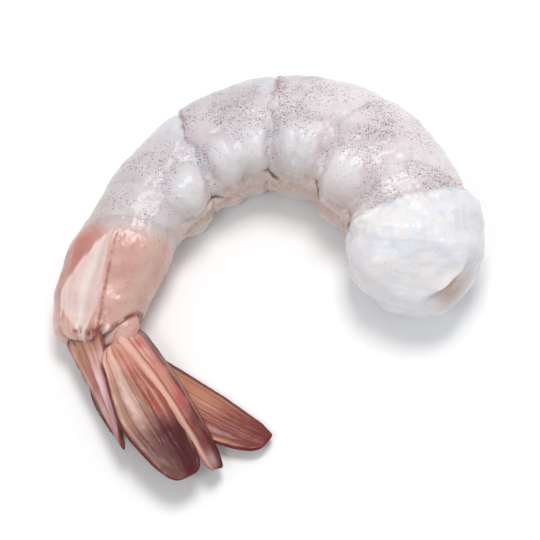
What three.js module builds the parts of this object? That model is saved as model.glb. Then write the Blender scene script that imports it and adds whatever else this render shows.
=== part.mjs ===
// A raw tiger prawn, peeled down to its last tail segment, lying on its left side on a table.
// The flesh is one curled muscle with a torn head end. Over its tail end sits the last ring of
// shell, and behind that the tail fan: a spike (the telson) between two pairs of blades, each
// pair on its own short base.
// Millimetres, +Z up. Stations along the body count from the tail joint towards the torn end.
// Angles round the body count from the back: 0 back, 90 right side (up), 180 belly, 270 left side.
import * as THREE from "three";
import { mergeVertices } from "three/addons/utils/BufferGeometryUtils.js";

const { clamp, degToRad, smoothstep } = THREE.MathUtils;

// ---- Driving sizes ---------------------------------------------------------------------------
const TAIL_JOINT = new THREE.Vector2(-27.08, -7.93); // where the middle line starts on the table
const BODY_LENGTH = 88.4; // tail joint to torn end, along the middle line
// The middle line heads this way at its middle station and swings off it to both ends, in degrees.
const CURL = { middle: -15.5, swing: 100, station: 51.8, spread: 33.8 };
const GAP = 0.3; // between pieces that touch
const SAG = 0.94; // height of the middle line as a share of the half width: soft flesh settles
const SETTLED = 26; // from this station on the flesh lies on the table, clear of the shell

// Half height (back to belly) and half width (side to side) of the flesh at each station.
const GIRTH = [
  { station: 0, height: 5.5, width: 4.3 },
  { station: 4, height: 6.4, width: 5.0 },
  { station: 15, height: 7.2, width: 6.1 },
  { station: 25, height: 7.8, width: 6.9 },
  { station: 36, height: 8.5, width: 7.7 },
  { station: 48, height: 9.4, width: 8.4 },
  { station: 60, height: 10.3, width: 9.0 },
  { station: 70, height: 10.3, width: 9.3 },
  { station: 79, height: 11.3, width: 9.8 },
];
// A round back turns into a squarer, flatter belly.
const SECTION = { back: 2.15, belly: 2.75, bellyHeight: 0.9 };

// Where one segment meets the next on the side, how deep the groove is, and how far it leads
// towards the head on the back and on the belly.
const SEAMS = [
  { station: 22.8, depth: 0.3, back: -2.8, belly: 0.4 },
  { station: 31.4, depth: 1, back: 3.0, belly: -2.4 },
  { station: 44.9, depth: 0.8, back: 1.9, belly: -1.4 },
  { station: 56.4, depth: 0.8, back: 3.2, belly: 1.4 },
  { station: 67.2, depth: 0.8, back: 5.2, belly: 3.6 },
];
const SEAM = { width: 1.3, back: 0.2, side: 0.35, notch: 0.6, notchAngle: 134, notchSpread: 26 };

// The rounded lobes of flesh low on each side of each segment. Angles in degrees from the back.
const LOBES = [
  { station: 26.4, rise: 1.5, length: 3.9, angle: 134, spread: 34 },
  { station: 35.2, rise: 0.9, length: 3.0, angle: 130, spread: 30 },
  { station: 40.9, rise: 0.8, length: 3.1, angle: 126, spread: 30 },
  { station: 50.0, rise: 1.1, length: 4.2, angle: 128, spread: 34 },
  { station: 61.6, rise: 1.4, length: 4.8, angle: 140, spread: 34 },
];

// The ends close over the rings from these stations, by shares of all the rings.
const TAIL_CAP = { start: -1.6, length: 3.2, rings: 0.05 };
const DOME = { station: 76, blunt: 3.4, rings: 0.18 };
// Flats where the torn end pulled away: turn from the back and tilt off the middle line, degrees.
const TORN_FLATS = [
  { turn: 100, tilt: 50, reach: 10.0 },
  { turn: 176, tilt: 16, reach: 11.9 },
  { turn: 150, tilt: 40, reach: 11.1 },
  { turn: 182, tilt: 76, reach: 10.4 },
  { turn: 12, tilt: 52, reach: 10.9 },
  { turn: 290, tilt: 55, reach: 9.9 },
  { turn: 140, tilt: 84, reach: 10.2 },
  { turn: 60, tilt: 84, reach: 10.7 },
];
const FLATTEN = 0.9; // how much of what stands past a torn flat is pressed back
const HOLLOW = { turn: 29, tilt: 21, depth: 1.6, radius: 3.4 };

// The last ring of shell: slanting ends, a spine, hood and keel on the back, a tuck at the belly.
const SHELL = {
  wall: 0.6,
  rear: -1.3,
  front: 16.7,
  rake: 2.1,
  spine: 0.4,
  hood: 1.7,
  keel: 0.5,
  tuck: 4,
  drawnIn: 0.4,
};

// The tail fan. A root is [ahead, back, out to its side] from the tail joint. flex turns a piece
// from straight back towards the belly, rise lifts its tip, roll turns it about its own length,
// arch bows its middle towards the belly, skew sets it off to the back of its line.
// side is 1 on the right, -1 on the left.
// Neck is how wide a blade starts at its root, as a share of its width.
const TELSON = {
  name: "telson",
  side: 1,
  root: [-2.0, 2.3, 1.5],
  flex: 36,
  rise: -4,
  roll: 42,
  arch: 0,
  skew: -0.1,
  length: 19.4,
  width: 6.0,
  thickness: 1.5,
  neck: 0.5,
  widest: 0.2,
  point: 0.8,
  rib: 0.5,
};
const INNER_BLADE = {
  arch: 0,
  skew: 0.04,
  width: 9.2,
  thickness: 1.0,
  neck: 0.6,
  widest: 0.6,
  point: 0.27,
  rib: 0.35,
};
const OUTER_BLADE = {
  arch: 0,
  skew: 0.5,
  width: 8.0,
  thickness: 1.0,
  neck: 0.8,
  widest: 0.7,
  point: 0.3,
  rib: 0.35,
};
const BLADES = [
  {
    ...INNER_BLADE,
    name: "inner_blade_right",
    side: 1,
    root: [-4.8, -5.8, 2.3],
    flex: 45.5,
    rise: -6,
    roll: -10,
    length: 21.0,
  },
  {
    ...INNER_BLADE,
    name: "inner_blade_left",
    side: -1,
    root: [-3.6, -0.5, 3.6],
    flex: 33,
    rise: 0,
    roll: 2,
    length: 14,
    width: 5,
    point: 0.6,
  },
  {
    ...OUTER_BLADE,
    name: "outer_blade_right",
    side: 1,
    root: [-1.6, -8.1, 2.6],
    flex: 48.5,
    rise: -6,
    roll: -50,
    skew: 0.34,
    arch: 0.03,
    length: 22.3,
    width: 5.8,
    neck: 1.1,
    point: 0.18,
  },
  {
    ...OUTER_BLADE,
    name: "outer_blade_left",
    side: -1,
    root: [-2.4, -8.6, 3.2],
    flex: 72.5,
    rise: 0,
    roll: 10,
    length: 22.7,
  },
];
const BASES = [
  { name: "fan_base_right", side: 1, from: [-1.9, -4.9, 2.2], to: [-4.0, -4.7, 2.6] },
  { name: "fan_base_left", side: -1, from: [-1.9, -5.2, 3.2], to: [-3.4, -5.6, 3.2] },
];
const BASE = { thick: 1.3, wide: 1.9 };

// ---- The curled middle line ------------------------------------------------------------------
const STEP = 0.25;
const UP = new THREE.Vector3(0, 0, 1);

function heading(station) {
  const turn = Math.tanh((station - CURL.station) / CURL.spread);
  return degToRad(CURL.middle - CURL.swing * turn);
}

function girth(station, size) {
  let value = GIRTH[0][size];
  for (let i = 1; i < GIRTH.length; i += 1) {
    const [low, high] = [GIRTH[i - 1], GIRTH[i]];
    value += (high[size] - low[size]) * smoothstep(station, low.station, high.station);
  }
  return value;
}

// The place, the direction to the head and the direction to the back at a station. Past either
// end of the body the line runs on straight. Under the shell it rides up by the shell's wall.
function middleLine(station) {
  const inside = clamp(station, 0, BODY_LENGTH);
  const steps = Math.max(1, Math.ceil(inside / STEP));
  const step = inside / steps;
  let { x, y } = TAIL_JOINT;
  for (let i = 0; i < steps; i += 1) {
    const angle = heading((i + 0.5) * step);
    x += Math.cos(angle) * step;
    y += Math.sin(angle) * step;
  }
  const angle = heading(inside);
  const ahead = new THREE.Vector3(Math.cos(angle), Math.sin(angle), 0);
  const back = new THREE.Vector3(-ahead.y, ahead.x, 0);
  const halfWidth = girth(inside, "width");
  const inShell = 1 - smoothstep(inside, SHELL.front, SETTLED);
  const onShell = halfWidth + SHELL.wall + GAP;
  const height = SAG * halfWidth + (onShell - SAG * halfWidth) * inShell;
  const place = new THREE.Vector3(x, y, height).addScaledVector(ahead, station - inside);
  return { place, ahead, back };
}

// ---- Closed surfaces from a rule -------------------------------------------------------------
// A ball or ring of faces whose every vertex is put where place(point, along, round) says.
function shaped(geometry, place) {
  const { position, uv } = geometry.attributes;
  const point = new THREE.Vector3();
  for (let i = 0; i < position.count; i += 1) {
    place(point, 1 - uv.getY(i), 1 - uv.getX(i));
    position.setXYZ(i, point.x, point.y, point.z);
  }
  geometry.deleteAttribute("normal");
  geometry.deleteAttribute("uv");
  return mergeVertices(geometry, 1e-4);
}

const bump = (distance, width) => Math.exp(-((distance / width) ** 2));
const fromBack = (angle) => Math.min(angle, 2 * Math.PI - angle);

// ---- Flesh -----------------------------------------------------------------------------------
const AROUND = 36;
const RINGS = 76;

// Distance from the middle line to the flesh, before the torn end is shaped.
function fleshRadius(station, angle) {
  const [c, s] = [Math.cos(angle), Math.abs(Math.sin(angle))];
  const belly = smoothstep(-c, 0, 1);
  const power = SECTION.back + (SECTION.belly - SECTION.back) * belly;
  const height = girth(station, "height") * (1 - (1 - SECTION.bellyHeight) * belly);
  const width = girth(station, "width");
  let radius = ((Math.abs(c) / height) ** power + (s / width) ** power) ** (-1 / power);

  const round = fromBack(angle) / degToRad(1);
  for (const lobe of LOBES) {
    const off = ((station - lobe.station) / lobe.length) ** 2 + ((round - lobe.angle) / lobe.spread) ** 2;
    radius += lobe.rise * Math.exp(-(off ** 1.4));
  }

  const inNotch = bump(round - SEAM.notchAngle, SEAM.notchSpread);
  const groove = SEAM.back + SEAM.side * smoothstep(s, 0.3, 1) + SEAM.notch * inNotch;
  for (const seam of SEAMS) {
    const lead = seam.back * Math.max(c, 0) ** 1.5 + seam.belly * Math.max(-c, 0) ** 1.5;
    radius -= seam.depth * groove * bump(station - seam.station - lead, SEAM.width);
  }
  return radius;
}

// A direction leaning tilt off the middle line's head end, turned from the back about it.
function tornDirection({ turn, tilt }) {
  const { ahead, back } = middleLine(DOME.station);
  return new THREE.Vector3()
    .addScaledVector(ahead, Math.cos(degToRad(tilt)))
    .addScaledVector(back, Math.sin(degToRad(tilt)) * Math.cos(degToRad(turn)))
    .addScaledVector(UP, Math.sin(degToRad(tilt)) * Math.sin(degToRad(turn)));
}

const domeCentre = middleLine(DOME.station).place;
const tornFlats = TORN_FLATS.map((flat) => ({ out: tornDirection(flat), reach: flat.reach }));
const hollowOut = tornDirection(HOLLOW);

// Presses the torn end's flats and its hollow into a point of the dome.
function shapeTornEnd(point, share) {
  const from = new THREE.Vector3();
  for (const { out, reach } of tornFlats) {
    const over = Math.max(from.subVectors(point, domeCentre).dot(out) - reach, 0);
    point.addScaledVector(out, -FLATTEN * share * over);
  }
  from.subVectors(point, domeCentre);
  if (from.dot(hollowOut) > 0) {
    const off = from.clone().normalize().distanceTo(hollowOut) * from.length();
    point.addScaledVector(hollowOut, -HOLLOW.depth * share * bump(off, HOLLOW.radius));
  }
}

// Rings stand evenly along the body and crowd together where an end closes.
function ring(along) {
  const afterCap = TAIL_CAP.start + TAIL_CAP.length;
  if (along < TAIL_CAP.rings) {
    const turn = (along / TAIL_CAP.rings) * (Math.PI / 2);
    return { station: afterCap - TAIL_CAP.length * Math.cos(turn), close: Math.sin(turn) ** 0.7 };
  }
  if (along > 1 - DOME.rings) {
    const turn = ((along - 1 + DOME.rings) / DOME.rings) * (Math.PI / 2);
    const station = DOME.station + (BODY_LENGTH - DOME.station) * Math.sin(turn);
    return { station, close: (1 - Math.sin(turn) ** DOME.blunt) ** (1 / SECTION.back) };
  }
  const share = (along - TAIL_CAP.rings) / (1 - TAIL_CAP.rings - DOME.rings);
  return { station: afterCap + (DOME.station - afterCap) * share, close: 1 };
}

function makeFlesh() {
  return shaped(new THREE.SphereGeometry(1, AROUND, RINGS), (point, along, round) => {
    const { station, close } = ring(along);
    const { place, back } = middleLine(station);
    const angle = round * 2 * Math.PI;
    const radius = close * fleshRadius(station, angle);
    point.copy(place)
      .addScaledVector(back, radius * Math.cos(angle))
      .addScaledVector(UP, radius * Math.sin(angle));
    shapeTornEnd(point, smoothstep(station, SEAMS.at(-1).station, DOME.station));
    point.z = Math.max(point.z, 0);
  });
}

// ---- Last ring of shell ----------------------------------------------------------------------
const SHELL_ROWS = 12; // up the outside, and as many back down the inside
const SHELL_AROUND = 32;

function shellRear(angle) {
  const spine = SHELL.spine * bump(fromBack(angle), 0.21);
  const hood = SHELL.hood * (1 - smoothstep(fromBack(angle), 1.68, 1.95));
  const tuck = SHELL.tuck * smoothstep(-Math.cos(angle), 0.5, 1);
  return SHELL.rear - spine - hood + tuck;
}

function shellFront(angle) {
  return SHELL.front - SHELL.rake * Math.cos(angle);
}

function makeShell() {
  const loop = 2 * SHELL_ROWS;
  return shaped(new THREE.TorusGeometry(1, 0.3, loop, SHELL_AROUND), (point, along, round) => {
    const row = Math.round(along * loop) % loop;
    const outside = row < SHELL_ROWS;
    const share = (outside ? row : loop - 1 - row) / (SHELL_ROWS - 1);
    const angle = round * 2 * Math.PI;
    const station = shellRear(angle) + (shellFront(angle) - shellRear(angle)) * share;
    const keel = SHELL.keel * bump(fromBack(angle), 0.2);
    const drawnIn = SHELL.drawnIn * Math.max(-station, 0) * (Math.cos(angle) > 0 ? 1 : 0);
    const wall = GAP + (outside ? SHELL.wall + keel : 0) - drawnIn;
    const radius = fleshRadius(Math.max(station, 0), angle) + wall;
    const { place, back } = middleLine(station);
    point.copy(place)
      .addScaledVector(back, radius * Math.cos(angle))
      .addScaledVector(UP, radius * Math.sin(angle));
    point.z = Math.max(point.z, outside ? 0 : SHELL.wall);
  });
}

// ---- Tail fan --------------------------------------------------------------------------------
const FAN_FACES = 14;
const BASE_FACES = 12;
const tail = middleLine(0);

// A point given along the head direction, the back direction and out to a side.
function atTail([ahead, back, out], side) {
  return tail.place.clone()
    .addScaledVector(tail.ahead, ahead)
    .addScaledVector(tail.back, back)
    .addScaledVector(UP, side * out);
}

function bladeFrame({ flex, rise, roll, side }) {
  const [bend, lift, turn] = [flex, rise, roll].map(degToRad);
  const level = new THREE.Vector3()
    .addScaledVector(tail.ahead, -Math.cos(bend))
    .addScaledVector(tail.back, -Math.sin(bend));
  const toBelly = new THREE.Vector3(-level.y, level.x, 0);
  const lengthwise = level.multiplyScalar(Math.cos(lift)).addScaledVector(UP, Math.sin(lift));
  const across = toBelly.clone().multiplyScalar(Math.cos(turn)).addScaledVector(UP, side * Math.sin(turn));
  const outward = new THREE.Vector3().crossVectors(lengthwise, across).normalize();
  return { lengthwise, toBelly, across, outward };
}

// A long leaf: narrow at its root, widest at its own share of the length, a rib down its middle.
function makeBlade(blade) {
  const { lengthwise, toBelly, across, outward } = bladeFrame(blade);
  const root = atTail(blade.root, blade.side);
  return shaped(new THREE.SphereGeometry(1, FAN_FACES, FAN_FACES), (point, along, round) => {
    const t = (1 - Math.cos(Math.PI * along)) / 2;
    const angle = round * 2 * Math.PI;
    const fromRoot = Math.min(1, t * 12) ** 0.4;
    const swell = blade.neck + (1.35 - blade.neck) * smoothstep(t, 0, blade.widest);
    const halfWidth = (blade.width / 2) * swell * fromRoot * (1 - t) ** blade.point;
    const halfThick = (blade.thickness / 2) * fromRoot * (1 - 0.45 * t) * Math.min(1, (1 - t) * 8) ** 0.5;
    const rib = 1 + blade.rib * bump(halfWidth * Math.cos(angle), 0.9);
    point.copy(root)
      .addScaledVector(lengthwise, blade.length * t)
      .addScaledVector(toBelly, blade.arch * blade.length * 4 * t * (1 - t))
      .addScaledVector(across, halfWidth * (Math.cos(angle) - blade.skew))
      .addScaledVector(outward, halfThick * rib * Math.sin(angle));
  });
}

// The short stout piece that carries a pair of blades.
function makeBase({ from, to, side }) {
  const start = atTail(from, side);
  const line = atTail(to, side).sub(start);
  const across = new THREE.Vector3().crossVectors(UP, line).normalize();
  return shaped(new THREE.SphereGeometry(1, BASE_FACES, BASE_FACES / 2), (point, along, round) => {
    const angle = round * 2 * Math.PI;
    const close = Math.sin(Math.PI * along) ** 0.6;
    point.copy(start)
      .addScaledVector(line, (1 - Math.cos(Math.PI * along)) / 2)
      .addScaledVector(across, BASE.wide * close * Math.cos(angle))
      .addScaledVector(UP, BASE.thick * close * Math.sin(angle));
  });
}

// ---- Assembly --------------------------------------------------------------------------------
const finish = (color, roughness) => new THREE.MeshStandardMaterial({ color, roughness, metalness: 0 });
const fleshFinish = finish(0xdcd6d6, 0.25);
const shellFinish = finish(0xd59c90, 0.3);
const fanFinish = finish(0xa8625a, 0.35);

const prawn = new THREE.Group();

function add(name, geometry, material) {
  const mesh = new THREE.Mesh(geometry, material);
  mesh.name = name;
  prawn.add(mesh);
}

add("flesh", makeFlesh(), fleshFinish);
add("tail_shell", makeShell(), shellFinish);
add(TELSON.name, makeBlade(TELSON), fanFinish);
for (const base of BASES) add(base.name, makeBase(base), shellFinish);
for (const blade of BLADES) add(blade.name, makeBlade(blade), fanFinish);

export default prawn;
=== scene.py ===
import math
import random

import bpy
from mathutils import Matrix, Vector


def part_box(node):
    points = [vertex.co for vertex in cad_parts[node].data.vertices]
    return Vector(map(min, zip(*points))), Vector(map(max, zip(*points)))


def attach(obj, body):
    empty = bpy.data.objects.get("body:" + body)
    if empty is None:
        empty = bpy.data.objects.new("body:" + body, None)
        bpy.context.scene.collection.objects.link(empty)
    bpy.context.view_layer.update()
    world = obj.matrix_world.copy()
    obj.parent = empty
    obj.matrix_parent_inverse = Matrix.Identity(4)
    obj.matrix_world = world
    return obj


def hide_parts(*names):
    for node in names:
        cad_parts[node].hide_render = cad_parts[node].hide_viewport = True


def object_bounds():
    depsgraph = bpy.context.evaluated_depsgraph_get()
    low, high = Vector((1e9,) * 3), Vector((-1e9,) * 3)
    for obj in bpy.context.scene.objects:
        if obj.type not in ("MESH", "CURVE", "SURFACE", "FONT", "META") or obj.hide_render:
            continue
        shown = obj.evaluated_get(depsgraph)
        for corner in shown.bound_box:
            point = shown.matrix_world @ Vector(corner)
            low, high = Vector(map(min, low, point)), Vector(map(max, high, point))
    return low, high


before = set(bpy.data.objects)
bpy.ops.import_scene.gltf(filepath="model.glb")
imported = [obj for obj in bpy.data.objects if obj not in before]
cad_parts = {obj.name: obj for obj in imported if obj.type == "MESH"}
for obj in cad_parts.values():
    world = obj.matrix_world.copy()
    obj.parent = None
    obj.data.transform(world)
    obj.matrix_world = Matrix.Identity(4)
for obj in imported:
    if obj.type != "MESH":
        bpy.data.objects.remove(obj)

cad_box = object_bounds()

# ---- The camera, the light and the table -----------------------------------------------------
# The prawn lies on a white table under one large soft lamp behind it, with a paler one at the
# front left. The camera looks steeply down from the front.
LOOK_DOWN = math.radians(68)
CAMERA_AWAY = 0.40
VIEW_WIDTH = 0.0835  # metres across the picture where the prawn lies

low, high = cad_box
middle = [(a + b) / 2 for a, b in zip(low, high)]

camera = bpy.data.objects.new("camera", bpy.data.cameras.new("camera"))
camera.data.lens = camera.data.sensor_width * CAMERA_AWAY / VIEW_WIDTH
camera.data.clip_start = 0.01
camera.location = (
    middle[0],
    middle[1] - CAMERA_AWAY * math.cos(LOOK_DOWN),
    middle[2] + CAMERA_AWAY * math.sin(LOOK_DOWN),
)
camera.rotation_euler = (math.pi / 2 - LOOK_DOWN, 0, 0)
bpy.context.scene.collection.objects.link(camera)
bpy.context.scene.camera = camera


def lamp(name, place, size, watts, colour):
    """A square soft lamp at a place, facing the middle of the prawn."""
    light = bpy.data.lights.new(name, "AREA")
    light.size = size
    light.energy = watts
    light.color = colour
    stand = bpy.data.objects.new(name, light)
    stand.location = place
    away = [p - m for p, m in zip(place, middle)]
    flat = math.hypot(away[0], away[1])
    stand.rotation_euler = (math.atan2(flat, away[2]), 0, math.atan2(away[0], -away[1]))
    bpy.context.scene.collection.objects.link(stand)


lamp("key lamp", (0.02, 0.15, 0.48), 0.17, 1.3, (1.0, 0.985, 0.97))
lamp("front lamp", (-0.16, -0.20, 0.42), 0.10, 0.3, (0.96, 0.98, 1.0))

world = bpy.data.worlds.new("white studio")
bpy.context.scene.world = world
world.use_nodes = True
world.node_tree.nodes["Background"].inputs["Color"].default_value = (0.97, 0.985, 1.0, 1)
world.node_tree.nodes["Background"].inputs["Strength"].default_value = 0.60
bpy.context.scene.view_settings.view_transform = "Standard"


# ---- The body line ---------------------------------------------------------------------------
# Every piece of a prawn hangs on the middle line of its tail, which curls when the prawn is cooled
# raw. Stations along it count in millimetres from the tail joint to the torn end, and angles round
# it count in degrees from the back: 90 is the right side, on top, and 180 the belly.
mm = 0.001
BODY_LENGTH = 89
CURL_MIDDLE, CURL_SWING, CURL_STATION, CURL_SPREAD = -15.5, 100, 51.8, 33.8
STEP = 0.25
START = -8.0  # the line runs on this far behind the tail joint
SAG = 0.94
SHELL_WALL, GAP = 0.6, 0.3
SHELL_FRONT = 16.7
# Station, half height from back to belly, half width from side to side.
GIRTH = [
    (0, 5.5, 4.3),
    (4, 6.4, 5.0),
    (15, 7.2, 6.1),
    (25, 7.8, 6.9),
    (36, 8.5, 7.7),
    (48, 9.4, 8.4),
    (60, 10.3, 9.0),
    (70, 10.3, 9.3),
    (79, 11.3, 9.8),
]
JOINT_IN_BOX = (5.22, 1.94)  # millimetres from the low corner of the flesh's box to the tail joint
SHELL_LETS_GO = 26  # the station where the flesh has settled past the ring of shell
flesh_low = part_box("flesh")[0]
joint = [corner / mm + inwards for corner, inwards in zip(flesh_low, JOINT_IN_BOX)]


def heading(station):
    return math.radians(CURL_MIDDLE - CURL_SWING * math.tanh((station - CURL_STATION) / CURL_SPREAD))


def eased(value, start, end):
    share = min(max((value - start) / (end - start), 0), 1)
    return share * share * (3 - 2 * share)


def girth(station, size):
    value = GIRTH[0][size]
    for before, after in zip(GIRTH, GIRTH[1:]):
        value += (after[size] - before[size]) * eased(station, before[0], after[0])
    return value


def lift(station):
    """How high the middle line lies: soft flesh settles, and the ring of shell holds it up."""
    half_width = girth(station, 2)
    in_shell = 1 - eased(station, SHELL_FRONT, SHELL_LETS_GO)
    return SAG * half_width + (half_width + SHELL_WALL + GAP - SAG * half_width) * in_shell


points = []
x = joint[0] + START * math.cos(heading(0))
y = joint[1] + START * math.sin(heading(0))
for i in range(round((BODY_LENGTH - START) / STEP) + 1):
    points.append((x, y, 0))
    along = max(START + (i + 0.5) * STEP, 0)
    x += STEP * math.cos(heading(along))
    y += STEP * math.sin(heading(along))
line = bpy.data.meshes.new("body line")
line.from_pydata(points, [(i, i + 1) for i in range(len(points) - 1)], [])
sizes = line.attributes.new("sizes", "FLOAT_VECTOR", "POINT")
for i, size in enumerate(sizes.data):
    station = max(START + i * STEP, 0)
    size.vector = (girth(station, 1), girth(station, 2), lift(station))
body_line = bpy.data.objects.new("body line", line)
bpy.context.scene.collection.objects.link(body_line)


class Wire:
    """One socket of a node tree. Arithmetic on it adds Math or Vector Math nodes to the tree."""

    def __init__(self, tree, socket):
        self.tree = tree
        self.socket = socket

    def other(self, output):
        return Wire(self.tree, self.socket.node.outputs[output])

    def join(self, operation, *values):
        kinds = [v.socket.type if isinstance(v, Wire) else type(v) for v in values]
        kind = "ShaderNodeVectorMath" if "VECTOR" in kinds or tuple in kinds else "ShaderNodeMath"
        return self.tree.add(kind, {"operation": operation}, dict(enumerate(values)))

    def __add__(self, value):
        return self.join("ADD", self, value)

    def __radd__(self, value):
        return self.join("ADD", value, self)

    def __sub__(self, value):
        return self.join("SUBTRACT", self, value)

    def __rsub__(self, value):
        return self.join("SUBTRACT", value, self)

    def __mul__(self, value):
        return self.join("MULTIPLY", self, value)

    def __rmul__(self, value):
        return self.join("MULTIPLY", value, self)

    def __truediv__(self, value):
        return self.join("DIVIDE", self, value)

    def __rtruediv__(self, value):
        return self.join("DIVIDE", value, self)

    def __pow__(self, value):
        return self.join("POWER", self, value)

    def __neg__(self):
        return self * -1

    def __abs__(self):
        return self.join("ABSOLUTE", self)

    def exp(self):
        return self.join("EXPONENT", self)

    def sin(self):
        return self.join("SINE", self)

    def cos(self):
        return self.join("COSINE", self)

    def dot(self, direction):
        settings = {"operation": "DOT_PRODUCT"}
        return self.tree.add("ShaderNodeVectorMath", settings, {0: self, 1: direction}, out="Value")

    def unit(self):
        return self.join("NORMALIZE", self)

    def at_least(self, value):
        return self.join("MAXIMUM", self, value)

    def at_most(self, value):
        return self.join("MINIMUM", self, value)


class Tree:
    """A shader or geometry node tree. Nodes get in through add() only."""

    def __init__(self, tree):
        self.tree = tree

    def add(self, kind, settings=None, values=None, out=0):
        """Makes a node: its settings first, then a value or a wire for each socket named."""
        node = self.tree.nodes.new(kind)
        for name, setting in (settings or {}).items():
            setattr(node, name, setting)
        for key, value in (values or {}).items():
            socket = node.inputs[key]
            if isinstance(value, Wire):
                self.tree.links.new(value.socket, socket)
            elif socket.type == "VECTOR" and isinstance(value, (int, float)):
                socket.default_value = (value, value, value)
            elif socket.type == "RGBA" and len(value) == 3:
                socket.default_value = (*value, 1)
            else:
                socket.default_value = value
        return Wire(self, node.outputs[out] if node.outputs else None)

    def smooth(self, value, start, end, low=0.0, high=1.0):
        settings = {"interpolation_type": "SMOOTHSTEP"}
        return self.add("ShaderNodeMapRange", settings, {0: value, 1: start, 2: end, 3: low, 4: high})

    def bump(self, distance, width):
        """1 where the distance is nothing, falling away over the width on both sides."""
        share = distance / width
        return (share * share * -1).exp()

    def noise(self, place, scale, detail=2):
        values = {"Vector": place, "Scale": scale, "Detail": detail}
        return self.add("ShaderNodeTexNoise", None, values)

    def ripple(self, place, scale, detail, reach):
        """Noise that goes as far below nothing as above it."""
        return (self.noise(place, scale, detail) - 0.5) * reach

    def xyz(self, x=0, y=0, z=0):
        return self.add("ShaderNodeCombineXYZ", None, {"X": x, "Y": y, "Z": z})

    def parts(self, vector):
        """The first part of a vector, whose wire also leads to the others."""
        return self.add("ShaderNodeSeparateXYZ", None, {0: vector})

    def tilted(self, strength, depth, height):
        """The way a surface faces when it is finely uneven, for the light alone."""
        values = {"Strength": strength, "Distance": depth, "Height": height}
        return self.add("ShaderNodeBump", None, values)

    def surface(self, values):
        """Ends a material with its one shader."""
        shader = self.add("ShaderNodeBsdfPrincipled", None, values)
        self.add("ShaderNodeOutputMaterial", None, {"Surface": shader})

    def mix(self, share, first, second):
        """A colour between two: the first where the share is nothing, the second where it is 1."""
        return self.add("ShaderNodeMix", {"data_type": "RGBA"}, {0: share, 6: first, 7: second}, out=2)


def srgb(red, green, blue):
    """A colour as a maker reads it off a swatch, 0 to 255, turned into the light it gives back."""
    shares = [v / 255 for v in (red, green, blue)]
    return tuple(v / 12.92 if v <= 0.04045 else ((v + 0.055) / 1.055) ** 2.4 for v in shares)


# ---- The table -------------------------------------------------------------------------------
# A plain white table top, wide enough to run out of sight.
bpy.ops.mesh.primitive_plane_add(size=3)
table = bpy.context.object
table.name = "table"
white = bpy.data.materials.new("table white")
white.use_nodes = True
white.node_tree.nodes.clear()
Tree(white.node_tree).surface({"Base Color": (0.93, 0.93, 0.93), "Roughness": 0.75})
table.data.materials.append(white)


# ---- The flesh -------------------------------------------------------------------------------
# One muscle in segments, peeled of its shell: wet, pale and cloudy, with purple-grey specks left in
# its skin. Each segment laps over the one behind it and has a rounded lobe low on its side. The
# head was pulled off, which left a torn white end with flats and a hollow.

# Station on the side, how far it leads to the head on the back and on the belly, how deep it is.
SEAMS = [
    (22.8, -2.8, 0.4, 0.16),
    (31.4, 3.0, -2.4, 1),
    (44.9, 1.9, -1.4, 0.8),
    (56.4, 3.2, 1.4, 0.8),
    (67.2, 5.2, 3.6, 0.8),
]
SEAM_WANDER = 0.8
# Station, rise, half length, angle from the back, half spread in degrees.
LOBES = [
    (26.4, 1.5, 3.9, 134, 34),
    (35.2, 0.9, 3.0, 130, 30),
    (40.9, 0.8, 3.1, 126, 30),
    (50.0, 1.1, 4.2, 128, 34),
    (61.6, 1.4, 4.8, 140, 34),
]
CAP_START, CAP_LENGTH, CAP_RINGS = -1.6, 3.2, 0.04
DOME_STATION, DOME_RINGS = 76, 0.22
SKIN_END = 72.6  # where the skin stops in a ragged edge before the torn end
# Turn from the back, tilt off the middle line, reach.
TORN_FLATS = [
    (100, 50, 10.3),
    (176, 16, 12.8),
    (156, 40, 12.6),
    (182, 76, 11.5),
    (12, 52, 11.7),
    (290, 55, 10.2),
    (140, 84, 11.0),
    (60, 84, 11.0),
]
FLATTEN, SOFT_EDGE = 0.9, 0.45
SMALL_FLATS, SMALL_FLAT_REACH, DOME_HALF_DEPTH = 18, 1.03, 10.2
HOLLOW_TURN, HOLLOW_TILT, HOLLOW_DEPTH, HOLLOW_RADIUS = 36, 31, 1.8, 3.5
HOLLOW_FALL = Vector((0, 0.375, -0.927))  # the way the hollow falls away from its lip
HOLLOW_OFF = (1.7, 1.8)  # how far back the lip lies from the dome's middle, down the fall and along
ROUNDNESS, BELLY_SQUARE, BELLY_DRAWN_IN = 2.15, 0.6, 0.1
DOME_BLUNT = 3.4
NOTCH_ANGLE, NOTCH_SPREAD = 134, 26  # where a seam cuts deepest, low on the side
FURROW_ANGLE, LIP_ANGLE, SLIT_ANGLE = 157, 168, 159
OVAL_STATION, OVAL_ANGLE = 48.3, 121  # a small raised oval low on the side
RIDGE_OF_TEAR = 22  # the angle of the ridge behind the torn end, on the right of the back
CLOSED = 0.0000002  # metres: points nearer than this are one


def keep(tree, mesh, label, value):
    """Stores a number on the mesh's points for the finish to read."""
    settings = {"data_type": "FLOAT", "domain": "POINT"}
    values = {"Geometry": mesh, "Name": label, "Value": value}
    return tree.add("GeometryNodeStoreNamedAttribute", settings, values)


def read(tree, label):
    return tree.add("GeometryNodeInputNamedAttribute", {"data_type": "FLOAT"}, {"Name": label})


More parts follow.
